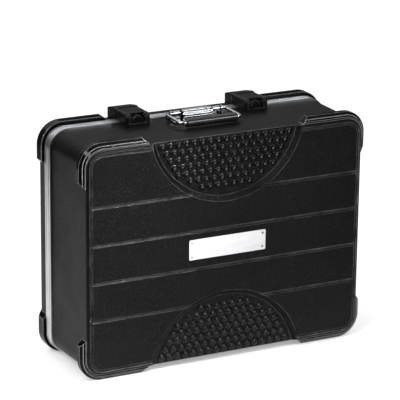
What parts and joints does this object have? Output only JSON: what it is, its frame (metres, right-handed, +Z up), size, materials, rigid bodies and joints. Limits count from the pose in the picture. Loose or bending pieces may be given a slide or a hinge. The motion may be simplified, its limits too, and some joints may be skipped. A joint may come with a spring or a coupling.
{
  "type": "guitar pedal case",
  "caption": "Hard carrying case with a deep lid and shallow base, aluminium edge frames, corner bumpers, sprung box latches, swing handle and foam lining.",
  "frame": {"origin": "under the middle of the closed case standing on its hinge side, on the surface it stands on", "axes": "+X to the right seen from the lid's front panel, +Y from the lid to the base, +Z up to the handle side"},
  "size_m": [0.52, 0.1828, 0.4065],
  "materials": {
    "shell": "satin",
    "bumper": "gloss",
    "valance": "satin",
    "latch": "satin",
    "chrome": "polished",
    "steel": "satin",
    "grip": "satin",
    "plate": "satin",
    "foam": "matte"
  },
  "bodies": {
    "base": {"base_bumper_bottom_left": "bumper", "base_bumper_bottom_right": "bumper", "base_bumper_top_left": "bumper", "base_bumper_top_right": "bumper", "base_foam_pad": "foam", "base_foam_walls": "foam", "base_hinge_rivets": "steel", "base_shell": "shell", "base_valance": "valance", "hinge_left_base_leaf": "steel", "hinge_left_pin": "steel", "hinge_right_base_leaf": "steel", "hinge_right_pin": "steel", "keeper_rivets": "chrome", "latch_left_keeper": "latch", "latch_right_keeper": "latch"},
    "lid": {"handle_hump": "chrome", "handle_left_barrel": "chrome", "handle_plate": "chrome", "handle_right_barrel": "chrome", "handle_rivets": "chrome", "hinge_left_lid_leaf": "steel", "hinge_right_lid_leaf": "steel", "latch_left_housing": "latch", "latch_left_pin": "chrome", "latch_left_spring": "steel", "latch_right_housing": "latch", "latch_right_pin": "chrome", "latch_right_spring": "steel", "latch_rivets": "chrome", "lid_bumper_bottom_left": "bumper", "lid_bumper_bottom_right": "bumper", "lid_bumper_top_left": "bumper", "lid_bumper_top_right": "bumper", "lid_foam_pad": "foam", "lid_foam_walls": "foam", "lid_hinge_rivets": "steel", "lid_shell": "shell", "lid_valance": "valance", "name_plate": "plate", "name_plate_rivets": "chrome"},
    "handle": {"handle_bail": "chrome", "handle_grip": "grip", "handle_ferrules": "chrome"},
    "latch_left_lever": {"latch_left_lever": "latch"},
    "latch_right_lever": {"latch_right_lever": "latch"},
    "latch_left_trigger": {"latch_left_trigger": "latch"},
    "latch_right_trigger": {"latch_right_trigger": "latch"}
  },
  "joints": [
    {"name": "lid_hinge", "type": "hinge", "parent": "base", "child": "lid", "pos_m": [0, 0.0517, 0.0032], "axis": [1, 0, 0], "range_deg": [0, 105]},
    {"name": "handle_swing", "type": "hinge", "parent": "lid", "child": "handle", "pos_m": [0, 0.0267, 0.3961], "axis": [-1, 0, 0], "range_deg": [0, 100]},
    {"name": "latch_left_lift", "type": "hinge", "parent": "lid", "child": "latch_left_lever", "pos_m": [-0.109, 0.0567, 0.3995], "axis": [-1, 0, 0], "range_deg": [0, 75]},
    {"name": "latch_left_press", "type": "slide", "parent": "lid", "child": "latch_left_trigger", "axis": [0, 1, 0], "range_m": [0, 0.003], "stiffness_N_per_m": 800, "springref_m": -0.002, "deforming": ["latch_left_spring"]},
    {"name": "latch_right_lift", "type": "hinge", "parent": "lid", "child": "latch_right_lever", "pos_m": [0.109, 0.0567, 0.3995], "axis": [-1, 0, 0], "range_deg": [0, 75]},
    {"name": "latch_right_press", "type": "slide", "parent": "lid", "child": "latch_right_trigger", "axis": [0, 1, 0], "range_m": [0, 0.003], "stiffness_N_per_m": 800, "springref_m": -0.002, "deforming": ["latch_right_spring"]}
  ]
}
